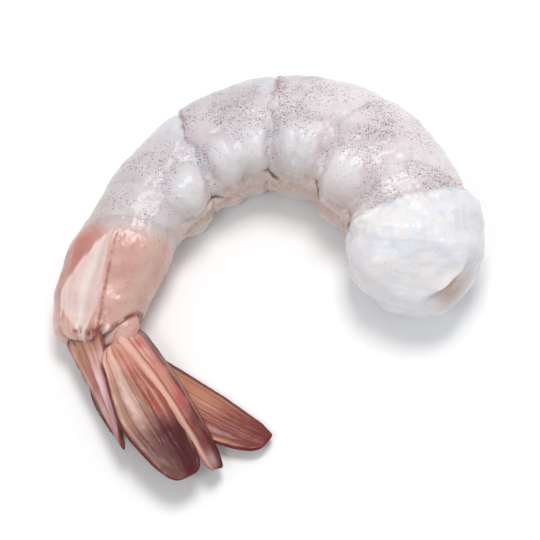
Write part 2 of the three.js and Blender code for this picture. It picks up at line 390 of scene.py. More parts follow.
def new_tree(name, numbers):
    """A geometry tree with named inputs, begun with the flat sheet that is rolled into the piece.

    Gives the tree, the wires of its inputs, the sheet, and how far each point of the sheet lies
    along it and round it, from 0 to 1.
    """
    numbers = {**numbers, "Rings": "Int", "Around": "Int", "Finish": "Material"}
    group = bpy.data.node_groups.new(name, "GeometryNodeTree")
    for label, kind in numbers.items():
        group.interface.new_socket(label, in_out="INPUT", socket_type="NodeSocket" + kind)
    group.interface.new_socket("Mesh", in_out="OUTPUT", socket_type="NodeSocketGeometry")
    tree = Tree(group)
    entry = tree.add("NodeGroupInput")
    size = {label: entry.other(label) for label in numbers}
    counts = {"Size X": 1, "Size Y": 1, "Vertices X": size["Rings"], "Vertices Y": size["Around"]}
    sheet = tree.add("GeometryNodeMeshGrid", None, counts)
    flat_place = tree.parts(tree.add("GeometryNodeInputPosition"))
    sheet = keep(tree, sheet, "run", flat_place + 0.5)
    sheet = keep(tree, sheet, "round", 0.5 - flat_place.other("Y"))
    return tree, size, sheet, read(tree, "run"), read(tree, "round")


def close_up(tree, mesh, point, kept, finish):
    """Ends a geometry tree: points put in place, seams and poles closed, smooth, one finish."""
    for label, value in kept.items():
        mesh = keep(tree, mesh, label, value)
    mesh = tree.add("GeometryNodeSetPosition", None, {"Geometry": mesh, "Position": point * mm})
    mesh = tree.add("GeometryNodeMergeByDistance", None, {"Geometry": mesh, "Distance": CLOSED})
    mesh = tree.add("GeometryNodeSetShadeSmooth", None, {"Geometry": mesh, "Shade Smooth": True})
    mesh = tree.add("GeometryNodeRealizeInstances", None, {"Geometry": mesh})
    mesh = tree.add("GeometryNodeSetMaterial", None, {"Geometry": mesh, "Material": finish})
    tree.add("NodeGroupOutput", None, {"Mesh": mesh})


def grown(tree, label, inputs):
    """Runs a geometry tree once and gives its mesh as an object of its own."""
    seed = bpy.data.meshes.new(label)
    piece = bpy.data.objects.new(label, seed)
    bpy.context.scene.collection.objects.link(piece)
    modifier = piece.modifiers.new(label, "NODES")
    modifier.node_group = tree.tree
    for item in tree.tree.interface.items_tree:
        if item.in_out == "INPUT":
            modifier[item.identifier] = inputs[item.name]
    seen = piece.evaluated_get(bpy.context.evaluated_depsgraph_get())
    mesh = bpy.data.meshes.new_from_object(seen)
    piece.modifiers.remove(modifier)
    piece.data = mesh
    bpy.data.meshes.remove(seed)
    mesh.name = label
    return piece


def laid_on_line(tree, line, station):
    """Where a station is on the body line, which way the back is, half the height and the width."""
    settings = {"transform_space": "ORIGINAL"}
    shape = tree.add("GeometryNodeObjectInfo", settings, {"Object": line}, out="Geometry")
    curve = tree.add("GeometryNodeMeshToCurve", None, {"Mesh": shape})
    sizes = tree.add("GeometryNodeInputNamedAttribute", {"data_type": "FLOAT_VECTOR"}, {"Name": "sizes"})
    sampled = tree.add(
        "GeometryNodeSampleCurve",
        {"mode": "LENGTH", "data_type": "FLOAT_VECTOR"},
        {"Curves": curve, "Value": sizes, "Length": station - START},
        out="Value",
    )
    size = tree.parts(sampled)
    ahead = sampled.other("Tangent")
    back = tree.add("ShaderNodeVectorMath", {"operation": "CROSS_PRODUCT"}, {0: (0, 0, 1), 1: ahead})
    place = sampled.other("Position") + tree.xyz(z=size.other("Z"))
    return place, back, size, size.other("Y")


def plain_radius(tree, station, cosine, sine, from_back, half_height, half_width):
    """Distance from the body line to the flesh, without its finer relief."""
    belly = tree.smooth(-cosine, 0, 1)
    power = ROUNDNESS + BELLY_SQUARE * belly
    tall = abs(cosine) / (half_height * (1 - BELLY_DRAWN_IN * belly))
    broad = sine / half_width
    radius = (tall ** power + broad ** power) ** (-1 / power)
    for middle_station, rise, length, angle, spread in LOBES:
        off = ((station - middle_station) / length) ** 2 + ((from_back - angle) / spread) ** 2
        radius = radius + rise * (-(off ** 1.4)).exp()
    return radius


def soft_unevenness(tree, skin_place):
    """The flesh's own unevenness, which the front edge of the shell follows."""
    return tree.ripple(skin_place, 2.4, 2, 0.8) + tree.ripple(skin_place, 8, 3, 0.16)


def torn_direction(turn, tilt):
    """A direction that leans off the head end of the body line, turned from the back about it."""
    angle = heading(DOME_STATION)
    leaning, round_line = math.radians(tilt), math.radians(turn)
    ahead = (math.cos(angle), math.sin(angle))
    forward = math.cos(leaning)
    to_back = math.sin(leaning) * math.cos(round_line)
    return (
        forward * ahead[0] - to_back * ahead[1],
        forward * ahead[1] + to_back * ahead[0],
        math.sin(leaning) * math.sin(round_line),
    )


flesh_shape, size, mesh, along, turned = new_tree("flesh", {"Body line": "Object"})

# Rings stand evenly along the body and crowd together where an end closes.
quarter = math.pi / 2
in_cap = (along / CAP_RINGS).at_most(1) * quarter
in_dome = ((along - 1) / DOME_RINGS + 1).at_least(0) * quarter
between = ((along - CAP_RINGS) / (1 - CAP_RINGS - DOME_RINGS)).at_least(0).at_most(1)
station = CAP_START + CAP_LENGTH * (1 - in_cap.cos())
station = station + (DOME_STATION - CAP_START - CAP_LENGTH) * between
station = station + (BODY_LENGTH - DOME_STATION) * in_dome.sin()
close = in_cap.sin() ** 0.7 * (1 - in_dome.sin() ** DOME_BLUNT).at_least(0) ** (1 / ROUNDNESS)
cosine, sine = (turned * math.tau).cos(), (turned * math.tau).sin()
from_back = 180 - abs(turned * 360 - 180)
place, back, half_height, half_width = laid_on_line(flesh_shape, size["Body line"], station)
radius = plain_radius(flesh_shape, station, cosine, abs(sine), from_back, half_height, half_width)

# The finer relief: laps and creases at the seams, the belly's edge, wrinkles and soft unevenness.
skin_place = flesh_shape.xyz(station / 9, cosine, sine)
wander = flesh_shape.ripple(skin_place, 2.2, 2, 4 * SEAM_WANDER)
raggedness = flesh_shape.ripple(skin_place, 7, 3, 3)
to_back, to_belly = cosine.at_least(0) ** 1.5, (-cosine).at_least(0) ** 1.5
on_side = flesh_shape.smooth(abs(sine), 0.3, 1)
in_notch = flesh_shape.bump(from_back - NOTCH_ANGLE, NOTCH_SPREAD)
torn = flesh_shape.smooth(station + raggedness, SKIN_END - 0.4, SKIN_END + 0.4)
crease, bare, dense, slit = 0, 0, 0, 0
belly_edge = from_back + flesh_shape.ripple(skin_place, 3, 2, 18)
for middle_station, back_lead, belly_lead, depth in SEAMS:
    off = station - middle_station - back_lead * to_back - belly_lead * to_belly + wander
    radius = radius - depth * (0.2 + 0.35 * on_side + 0.6 * in_notch) * flesh_shape.bump(off, 1.3)
    lap = flesh_shape.smooth(off, -0.25, 0.15) * (off.at_least(0) * -0.3).exp()
    radius = radius + depth * (0.3 * lap - 0.16 * flesh_shape.bump(off + 0.2, 0.35))
    crease = crease + depth * flesh_shape.bump(off, 0.3 + 0.9 * in_notch ** 2)
    across_slit = belly_edge - SLIT_ANGLE - 3 * off
    slit = slit + depth * flesh_shape.bump(off - 0.8, 1.7) * flesh_shape.bump(across_slit, 2.4)
    width = 0.7 + 4.6 * flesh_shape.smooth(from_back, 74, 20)
    bare = bare + depth * flesh_shape.smooth(off, 0.1, -0.3) * flesh_shape.smooth(off + width, -0.5, 0.8)
    dense = dense + depth * flesh_shape.smooth(off, -0.2, 0.1) * (off.at_least(0) * -0.16).exp()
lobe = 0
for middle_station, rise, length, angle, spread in LOBES:
    far = (((station - middle_station) / length) ** 2 + ((from_back - angle) / spread) ** 2) ** 0.5
    radius = radius - 0.12 * rise * flesh_shape.bump(far - 1.25, 0.2)
    lobe = lobe + flesh_shape.smooth(far, 1.3, 0.5)
belly_lip = 0.45 * flesh_shape.bump(belly_edge - LIP_ANGLE, 8)
belly_lip = belly_lip - 0.25 * flesh_shape.bump(belly_edge - FURROW_ANGLE, 4)
frilly = flesh_shape.smooth(from_back, 160, 172) * (1 - torn)
belly_lip = belly_lip + flesh_shape.ripple(skin_place, 9, 2, 0.9) * frilly
radius = radius + belly_lip * flesh_shape.smooth(station, 19, 22) - 0.4 * slit
small_oval = ((station - OVAL_STATION) / 1.6) ** 2 + ((from_back - OVAL_ANGLE) / 15) ** 2
radius = radius + 0.55 * (-(small_oval ** 2)).exp()
lead_station = station - 3.5 * to_back - 1.5 * to_belly + wander
wrinkled = flesh_shape.smooth(lead_station, 55, 60) * flesh_shape.smooth(from_back, 120, 85)
wrinkles = (lead_station * 2.6 + flesh_shape.noise(skin_place, 3) * 9).sin()
radius = radius + 0.06 * wrinkles * wrinkled * (1 - torn)
radius = radius + soft_unevenness(flesh_shape, skin_place)
radius = radius - 0.3 * torn - 0.4 * flesh_shape.bump(station + raggedness - SKIN_END, 0.6)
fibre_place = flesh_shape.xyz(station / 22, cosine, sine)
radius = radius + torn * flesh_shape.ripple(fibre_place, 9, 2, 0.35)
radius = radius + torn * flesh_shape.ripple(skin_place, 4, 2, 0.7)
from_ridge = 180 - abs(abs(turned * 360 - RIDGE_OF_TEAR) - 180)  # alike on both sides of the back
radius = radius + 0.9 * flesh_shape.bump(station - 75.6, 2) * flesh_shape.bump(from_ridge, 24)
radius = radius + 0.5 * flesh_shape.bump(station - 73.4, 1.4) * flesh_shape.bump(from_back - 150, 24)
radius = radius + 1.4 * flesh_shape.bump(station - 82, 6) * flesh_shape.bump(from_back - 160, 50)
reach_out = radius * close
point = place + back * (cosine * reach_out) + flesh_shape.xyz(z=sine * reach_out)

# The torn end: large flats, smaller ones between them, and the hollow.
index = round((DOME_STATION - START) / STEP)
dome_centre = (points[index][0], points[index][1], lift(DOME_STATION))
chance = random.Random(4)
flats = [(torn_direction(turn, tilt), reach) for turn, tilt, reach in TORN_FLATS]
for i in range(SMALL_FLATS):
    turn, tilt = chance.uniform(0, 360), 20 + 70 * chance.random() ** 0.8
    lengthwise = (BODY_LENGTH - DOME_STATION) * math.cos(math.radians(tilt))
    sideways = DOME_HALF_DEPTH * math.sin(math.radians(tilt))
    reach = SMALL_FLAT_REACH * math.hypot(lengthwise, sideways)
    flats.append((torn_direction(turn, tilt), reach))
torn_share = flesh_shape.smooth(station, SEAMS[-1][0], DOME_STATION)
for direction, reach in flats:
    past = (point - dome_centre).dot(direction) - reach
    over = (past + (past * past + SOFT_EDGE ** 2) ** 0.5) / 2
    point = point - over * (FLATTEN * torn_share) * direction
lumps = flesh_shape.ripple(point, 0.17, 1, 1.9) + flesh_shape.ripple(point, 0.5, 1, 0.35)
point = point + (point - dome_centre).unit() * (lumps * torn * torn_share)
hollow_out = Vector(torn_direction(HOLLOW_TURN, HOLLOW_TILT))
falls_away = (HOLLOW_FALL - hollow_out * hollow_out.dot(HOLLOW_FALL)).normalized()
along_rim = hollow_out.cross(falls_away)
from_rim = (point - dome_centre).dot(tuple(falls_away)) + HOLLOW_OFF[0]
beside = (point - dome_centre).dot(tuple(along_rim)) + HOLLOW_OFF[1]
facing = flesh_shape.smooth((point - dome_centre).dot(tuple(hollow_out)), 3, 7)
near = flesh_shape.bump(beside, HOLLOW_RADIUS) * facing * torn_share
hollow = flesh_shape.smooth(from_rim, -0.4, 0.9) * flesh_shape.smooth(from_rim, 8, 3) * near
lip = flesh_shape.bump(from_rim + 0.5, 0.6) * near
spot = flesh_shape.parts(point + (lip * 0.3 - hollow * HOLLOW_DEPTH) * tuple(hollow_out))
point = flesh_shape.xyz(spot, spot.other("Y"), spot.other("Z").at_least(0))
kept = {
    "station": station,
    "from_back": from_back,
    "crease": crease,
    "bare": bare,
    "dense": dense,
    "slit": slit,
    "lip": lip,
    "lobe": lobe,
    "torn": torn,
    "hollow": hollow,
}
close_up(flesh_shape, mesh, point, kept, size["Finish"])


def new_finish(name):
    """A material with nothing in it yet, and the tree that its patterns and shader go in."""
    material = bpy.data.materials.new(name)
    material.use_nodes = True
    material.node_tree.nodes.clear()
    return material, Tree(material.node_tree)


def painted(tree, label):
    """A number stored on the mesh."""
    settings = {"attribute_type": "GEOMETRY", "attribute_name": label}
    return tree.add("ShaderNodeAttribute", settings, None, out="Fac")


flesh_finish, paint = new_finish("raw flesh")
where = paint.add("ShaderNodeTexCoord", None, None, out="Object")
station, from_back = painted(paint, "station"), painted(paint, "from_back")
crease, bare, dense = painted(paint, "crease"), painted(paint, "bare"), painted(paint, "dense")
lobe, torn, hollow, lip = (painted(paint, label) for label in ("lobe", "torn", "hollow", "lip"))
cloud = paint.noise(where, 170, 4)
colour = paint.mix(paint.smooth(cloud, 0.35, 0.65), srgb(202, 192, 194), srgb(220, 213, 215))
colour = paint.mix(paint.smooth(station, 58, 38) * 0.45, colour, srgb(186, 180, 186))
colour = paint.mix(paint.smooth(station + (cloud - 0.5) * 10, 21, 14) * 0.6, colour, srgb(206, 184, 180))
colour = paint.mix((bare * 0.65).at_most(0.65), colour, srgb(214, 216, 223))
colour = paint.mix(lobe.at_most(1) * 0.75, colour, srgb(214, 214, 218))
# Painted warm shade towards the belly: first on the shaded underside, then deeper on the belly's strip,
# which is partly the strip's own beige.
low = from_back + (cloud - 0.5) * 30
colour = paint.mix(paint.smooth(low, 118, 158) * (1 - torn) * 0.55, colour, srgb(214, 194, 184))
colour = paint.mix(paint.smooth(low, 154, 170) * (1 - torn) * 0.6, colour, srgb(208, 182, 170))
streaks = paint.noise(where, 240, 3)
pink = paint.smooth(station, 48, 66) * paint.smooth(from_back, 115, 40) * paint.smooth(streaks, 0.4, 0.7)
colour = paint.mix(pink * 0.22, colour, srgb(210, 176, 182))
torn_colour = paint.mix(paint.smooth(streaks, 0.35, 0.65), srgb(221, 223, 229), srgb(230, 227, 228))
colour = paint.mix(torn, colour, torn_colour)
# The hollow is painted greyer, then beige towards its floor: painted shade in the recess.
colour = paint.mix((hollow * 3).at_most(1) * 0.5, colour, srgb(212, 204, 202))
colour = paint.mix(hollow ** 1.6 * 0.85, colour, srgb(194, 164, 150))
# A painted highlight along the hollow's lip.
colour = paint.mix(lip * 0.7, colour, srgb(232, 230, 230))
colour = paint.mix((crease * paint.smooth(from_back, 100, 30)).at_most(0.6), colour, srgb(168, 122, 130))
# Painted light: the back of the front segments is lightened where the light falls on it.
painted_light_on_back = paint.smooth(from_back, 90, 35) * paint.smooth(station, 44, 60) * (1 - torn)
colour = paint.mix(painted_light_on_back * 0.6, colour, srgb(232, 224, 228))
# The slits low on the belly's edge are painted dark: painted shade in the gaps left by the legs.
colour = paint.mix((painted(paint, "slit") * (1 - torn) * 1.3).at_most(0.8), colour, srgb(112, 84, 72))
patches = paint.smooth(paint.noise(where, 210, 3), 0.34, 0.62)
speck_density = patches * (0.3 + 0.9 * dense.at_most(1)) * (1 - bare.at_most(1) * 0.85) * (1 - torn)
speck_density = speck_density * paint.smooth(from_back, 142, 92) * (1 - lobe.at_most(1) * 0.6)
speck_density = speck_density + crease.at_most(1) * 0.35 * paint.smooth(from_back, 160, 120) * (1 - torn)
speck_density = speck_density * paint.smooth(station, 13, 18)
specks = 0
for scale, large in ((4300, 0.42), (3100, 0.4), (2300, 0.34)):
    cells = paint.add("ShaderNodeTexVoronoi", None, {"Vector": where, "Scale": scale})
    chosen = paint.add("ShaderNodeSeparateColor", None, {0: cells.other("Color")})
    shown = paint.smooth(speck_density - chosen, -0.02, 0.04)
    specks = specks + paint.smooth(cells, large, large - 0.14) * shown
faded = paint.smooth(paint.noise(where, 1300, 1), 0.3, 0.7, 0.4, 0.95)
colour = paint.mix(specks.at_most(1) * faded, colour, srgb(116, 94, 104))
bumps = paint.noise(where, 700, 3) + paint.noise(where, 2600, 3) * 0.8 + paint.noise(where, 500, 4) * torn
normal = paint.tilted(0.5, 0.0003, bumps)
roughness = paint.smooth(paint.noise(where, 420, 2), 0.3, 0.7, 0.36, 0.56)
paint.surface({
    "Base Color": colour,
    "Roughness": roughness,
    "Normal": normal,
    "IOR": 1.38,
    "Subsurface Weight": 0.6,
    "Subsurface Radius": (1, 0.62, 0.5),
    "Subsurface Scale": 0.0022,
    "Specular IOR Level": 0.4,
    "Coat Weight": 0.55,
    "Coat Roughness": 0.18,
    "Coat IOR": 1.34,
})

inputs = {"Body line": body_line, "Rings": 470, "Around": 200, "Finish": flesh_finish}
flesh = grown(flesh_shape, "flesh_muscle", inputs)
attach(flesh, "root")
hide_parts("flesh")


# ---- The last ring of shell ------------------------------------------------------------------
# The one ring of shell left on for show: thin and pink, with a flat between the keel on its back
# and a ridge along each side; the flat is painted pale, a painted reflection of the lamp that is
# partly the paler flesh beneath. Its front edge pales onto the flesh, and its rear edge is thick
# and dark, with a spine on the back and a hinge knob at each side for the fan.
SHELL_REAR, SHELL_RAKE, SPINE, HOOD, KEEL, TUCK = -1.3, 2.1, 0.4, 1.7, 0.5, 4.0
RIDGE_ANGLE, RIDGE_TURN = 98, -1.25  # degrees from the back at the tail joint, and per millimetre
KNOB_ANGLES = (77, 116)

shell_shape, size, mesh, loop, turned = new_tree("tail shell", {"Body line": "Object"})

# The loop runs up the outside from the rear edge to the front one and back down the inside.
along = (1 - (loop * math.tau).cos()) / 2
outside = shell_shape.add("ShaderNodeMath", {"operation": "LESS_THAN"}, {0: loop, 1: 0.5})
cosine, sine = (turned * math.tau).cos(), (turned * math.tau).sin()
from_back = 180 - abs(turned * 360 - 180)
rim_place = shell_shape.xyz(0, cosine, sine)
rear = SHELL_REAR - SPINE * shell_shape.bump(from_back, 12) - HOOD * shell_shape.smooth(from_back, 112, 96)
rear = rear + TUCK * shell_shape.smooth(-cosine, 0.5, 1) + shell_shape.ripple(rim_place, 5, 3, 0.5)
for angle in KNOB_ANGLES:
    rear = rear - 0.5 * shell_shape.bump(from_back - angle, 6)
front = SHELL_FRONT - SHELL_RAKE * cosine + shell_shape.ripple(rim_place, 3, 2, 0.8)
station = rear + (front - rear) * along
place, back, half_height, half_width = laid_on_line(shell_shape, size["Body line"], station)
inside_station = station.at_least(0)
radius = plain_radius(shell_shape, inside_station, cosine, abs(sine), from_back, half_height, half_width)
radius = radius - 0.4 * (-station).at_least(0) * shell_shape.smooth(cosine, -0.1, 0.1)
ridge = from_back - RIDGE_ANGLE - RIDGE_TURN * station
skin_place = shell_shape.xyz(station / 9, cosine, sine)
relief = KEEL * shell_shape.bump(from_back, 12)
relief = relief + 0.3 * shell_shape.bump(ridge + 3, 7) - 0.1 * shell_shape.bump(ridge - 5, 4)
relief = relief - 0.3 * shell_shape.bump(from_back - 60, 18) + 0.2 * shell_shape.bump(from_back - 32, 8)
relief = relief + shell_shape.ripple(skin_place, 3, 3, 0.5) + shell_shape.ripple(skin_place, 14, 2, 0.1)
rim = shell_shape.bump(station - rear - 0.5, 0.45)
relief = relief * shell_shape.smooth(along, 1, 0.8) + 0.1 * rim
relief = relief + soft_unevenness(shell_shape, skin_place) * shell_shape.smooth(along, 0.8, 0.98)
at_hinge = 0.6 * shell_shape.bump(station - rear - 0.9, 1.1)
for angle in KNOB_ANGLES:
    relief = relief + at_hinge * shell_shape.bump(from_back - angle, 6)
wall = SHELL_WALL * (shell_shape.smooth(along, 0, 0.03) ** 0.5) * shell_shape.smooth(along, 1, 0.7, 0.12, 1)
wall = wall * shell_shape.smooth(along, 1, 0.99) ** 0.5
clear = GAP * shell_shape.smooth(along, 1, 0.85, 0.25, 1)
radius = radius + clear + relief * shell_shape.smooth(along, 0, 0.02) + outside * wall
turned_in = shell_shape.smooth(cosine, -0.5, 0.3, 0.5, 0.9)
radius = radius - shell_shape.smooth(station - rear, 1.5, 0) * turned_in
spot = shell_shape.parts(place + back * (cosine * radius) + shell_shape.xyz(z=sine * radius))
floor = (1 - outside) * (SHELL_WALL / 2)
point = shell_shape.xyz(spot, spot.other("Y"), spot.other("Z").at_least(floor))
kept = {
    "station": station,
    "from_back": from_back,
    "from_rear": station - rear,
    "from_front": front - station,
    "ridge": ridge,
}
close_up(shell_shape, mesh, point, kept, size["Finish"])

shell_finish, paint = new_finish("raw shell")
where = paint.add("ShaderNodeTexCoord", None, None, out="Object")
station, from_back, ridge = painted(paint, "station"), painted(paint, "from_back"), painted(paint, "ridge")
from_rear, from_front = painted(paint, "from_rear"), painted(paint, "from_front")
cloud = paint.smooth(paint.noise(where, 260, 4), 0.35, 0.65)
streaks = paint.noise(paint.xyz(from_back / 9, station / 6), 1.6, 3)
colour = paint.mix(cloud, srgb(196, 148, 137), srgb(210, 166, 155))
colour = paint.mix(paint.bump(from_back - 138, 12) * 0.6, colour, srgb(203, 180, 166))
ruddy = paint.smooth(from_back, 70, 44) * paint.smooth(station, 1.5, 5)
colour = paint.mix(ruddy * 0.85, colour, srgb(186, 122, 110))
lower_back = paint.smooth(from_back, 88, 60) * paint.smooth(station, 3.5, 0.5)
colour = paint.mix(lower_back * paint.smooth(streaks, 0.35, 0.6) * 0.8, colour, srgb(226, 184, 174))
colour = paint.mix(paint.bump(from_back - 22, 6) * 0.55, colour, srgb(160, 92, 82))
# The pale cream patch on the flat is a painted reflection of the lamp, partly the paler flesh beneath, with
# pale streaks in it and a brighter painted highlight along its edge.
reflection_cream = paint.mix(paint.smooth(streaks, 0.4, 0.6), srgb(226, 196, 192), srgb(232, 206, 202))
ahead_of_wide, behind_wide = (station - 3.3).at_least(0), (1.4 - station).at_least(0)
reflection_back_edge = 27 + ahead_of_wide * 2.9 + ahead_of_wide ** 2 * 0.16 + behind_wide * 9
reflection_side_edge = -3 - (2 - station).at_least(0) * 4
into_reflection = from_back + (streaks - 0.5) * 14 - reflection_back_edge
reflection_patch = paint.smooth(into_reflection, -3, 6) * paint.smooth(ridge, reflection_side_edge + 1.5, reflection_side_edge - 4)
colour = paint.mix(reflection_patch * 0.85, colour, reflection_cream)
for angle, width, stripe in ((64, 8, (238, 224, 212)), (76, 5, (212, 184, 182))):
    in_stripe = paint.bump(from_back - angle + (streaks - 0.5) * 16, width)
    colour = paint.mix(reflection_patch * in_stripe * 0.6, colour, srgb(*stripe))
colour = paint.mix(paint.bump(into_reflection - 3, 3) * reflection_patch * 0.5, colour, srgb(244, 216, 206))
dots = paint.smooth(paint.noise(where, 900, 2), 0.42, 0.58)
colour = paint.mix(paint.bump(ridge - 2.5, 2.2) * dots * 0.7, colour, srgb(158, 92, 86))
front_fade = from_front + (paint.noise(where, 220, 3) - 0.5) * 5
colour = paint.mix(paint.smooth(front_fade, 4.5, 0.3) * 0.8, colour, srgb(218, 193, 193))
rear_line = paint.bump(from_rear - 0.9, 0.6) * paint.smooth(paint.noise(where, 500, 2), 0.38, 0.5)
colour = paint.mix(rear_line * paint.smooth(from_back, 40, 60) * 0.9, colour, srgb(140, 56, 42))
# Painted highlights on the hinge knobs.
for angle in KNOB_ANGLES:
    knob = paint.bump(from_back - angle, 6) * paint.smooth(from_rear, 2, 1)
    colour = paint.mix(knob * 0.9, colour, srgb(236, 208, 202))
cells = paint.add("ShaderNodeTexVoronoi", None, {"Vector": where, "Scale": 1500})
chosen = paint.add("ShaderNodeSeparateColor", None, {0: cells.other("Color")})
specks = paint.smooth(cells, 0.3, 0.16) * paint.smooth(chosen, 0.35, 0.3) * (1 - reflection_patch)
colour = paint.mix(specks * 0.4, colour, srgb(156, 92, 90))
bumps = paint.noise(where, 700, 4) * 0.6 + paint.noise(where, 2600, 2) * 0.2
normal = paint.tilted(0.35, 0.0004, bumps)
paint.surface({
    "Base Color": colour,
    "Roughness": paint.smooth(paint.noise(where, 500, 2), 0.3, 0.7, 0.26, 0.45),
    "Normal": normal,
    "IOR": 1.45,
    "Subsurface Weight": 0.45,
    "Subsurface Radius": (1, 0.55, 0.45),
    "Subsurface Scale": 0.0014,
    "Coat Weight": 0.5,
    "Coat Roughness": 0.2,
    "Coat IOR": 1.36,
})

inputs = {"Body line": body_line, "Rings": 220, "Around": 260, "Finish": shell_finish}
shell = grown(shell_shape, "tail_shell_ring", inputs)
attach(shell, "root")
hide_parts("tail_shell")


# ---- The tail fan ----------------------------------------------------------------------------
# A spike, the telson, lies between two pairs of blades. Each is one thin stiff piece of shell,
# hinged at its root, with a rib down its middle, finer ribs beside it and a thickened rim. They
# darken from pink at the root to red-brown and purple at the tip.
tail_index = round(-START / STEP)
tail_place = (points[tail_index][0], points[tail_index][1], lift(0))
tail_ahead = (math.cos(heading(0)), math.sin(heading(0)))
tail_back = (-tail_ahead[1], tail_ahead[0])


def at_tail(ahead, back, out, side):
    """A point given from the tail joint towards the head, towards the back and out to a side."""
    return (
        tail_place[0] + ahead * tail_ahead[0] + back * tail_back[0],
        tail_place[1] + ahead * tail_ahead[1] + back * tail_back[1],
        tail_place[2] + side * out,
    )


def blade_directions(flex, rise, roll, side):
    """Along a blade, towards the belly, across the blade, and out of its upper face."""
    bend, lifting, turn = math.radians(flex), math.radians(rise), math.radians(roll)
    level = Vector((
        -math.cos(bend) * tail_ahead[0] - math.sin(bend) * tail_back[0],
        -math.cos(bend) * tail_ahead[1] - math.sin(bend) * tail_back[1],
        0,
    ))
    to_belly = Vector((-level.y, level.x, 0))
    lengthwise = level * math.cos(lifting) + Vector((0, 0, math.sin(lifting)))
    across = to_belly * math.cos(turn) + Vector((0, 0, side * math.sin(turn)))
    return lengthwise, to_belly, across, lengthwise.cross(across).normalized()


numbers = dict.fromkeys(("Root", "Lengthwise", "To belly", "Across", "Outward"), "Vector")
measures = ("Length", "Width", "Thickness", "Neck", "Widest", "Point", "Rib", "Skew", "Arch", "Hollow")
numbers.update(dict.fromkeys((*measures, "Seed"), "Float"))
blade_shape, size, mesh, run, turned = new_tree("fan blade", numbers)
along = (1 - (run * math.pi).cos()) / 2
cosine, sine = (turned * math.tau).cos(), (turned * math.tau).sin()
from_root = (along * 12).at_most(1) ** 0.4
swell = size["Neck"] + (1.35 - size["Neck"]) * blade_shape.smooth(along, 0, size["Widest"])
half_width = size["Width"] / 2 * swell * from_root * (1 - along).at_least(0) ** size["Point"]
thinned = ((1 - along) * 8).at_most(1).at_least(0) ** 0.5
half_thick = size["Thickness"] / 2 * from_root * (1 - 0.45 * along) * thinned
upper = blade_shape.add("ShaderNodeMath", {"operation": "SIGN"}, {0: sine})
plate = upper * abs(sine) ** 0.7
across_mm = half_width * cosine
edge = half_width - abs(across_mm)
to_tip = ((1 - along) * 50).at_most(1).at_least(0) ** 0.5  # brings every point of the tip together
blade_place = blade_shape.xyz(along * 5, cosine, size["Seed"])
side_ribs = blade_shape.bump(abs(across_mm) - 1.1, 0.3)
ribs = size["Rib"] * (1.3 * blade_shape.bump(across_mm, 0.5) + 0.7 * side_ribs)
fine = (cosine * 17 + blade_shape.ripple(blade_place, 1.5, 2, 3)).sin()
fine = fine * 0.045 * blade_shape.smooth(edge, 0.4, 1)
rim = 0.16 * blade_shape.bump(edge - 0.3, 0.25) * from_root * to_tip
thick = half_thick * (0.75 + ribs + fine) + rim
wave = blade_shape.ripple(blade_place, 1.2, 2, 0.5) * blade_shape.smooth(along, 0, 0.3)
rim_wave = blade_shape.ripple(blade_place, 3, 2, 0.25) * abs(cosine) ** 3 * from_root * to_tip
dish = size["Hollow"] * half_width * (cosine * cosine - 0.5)
point = (
    size["Root"]
    + size["Lengthwise"] * (size["Length"] * along)
    + size["To belly"] * (size["Arch"] * size["Length"] * 4 * along * (1 - along))
    + size["Across"] * (across_mm - half_width * size["Skew"] + rim_wave)
    + size["Outward"] * (thick * plate + wave - dish)
)
kept = {"along": along, "across": cosine, "edge": edge.at_most((1 - along) * size["Length"])}
close_up(blade_shape, mesh, point, kept, size["Finish"])


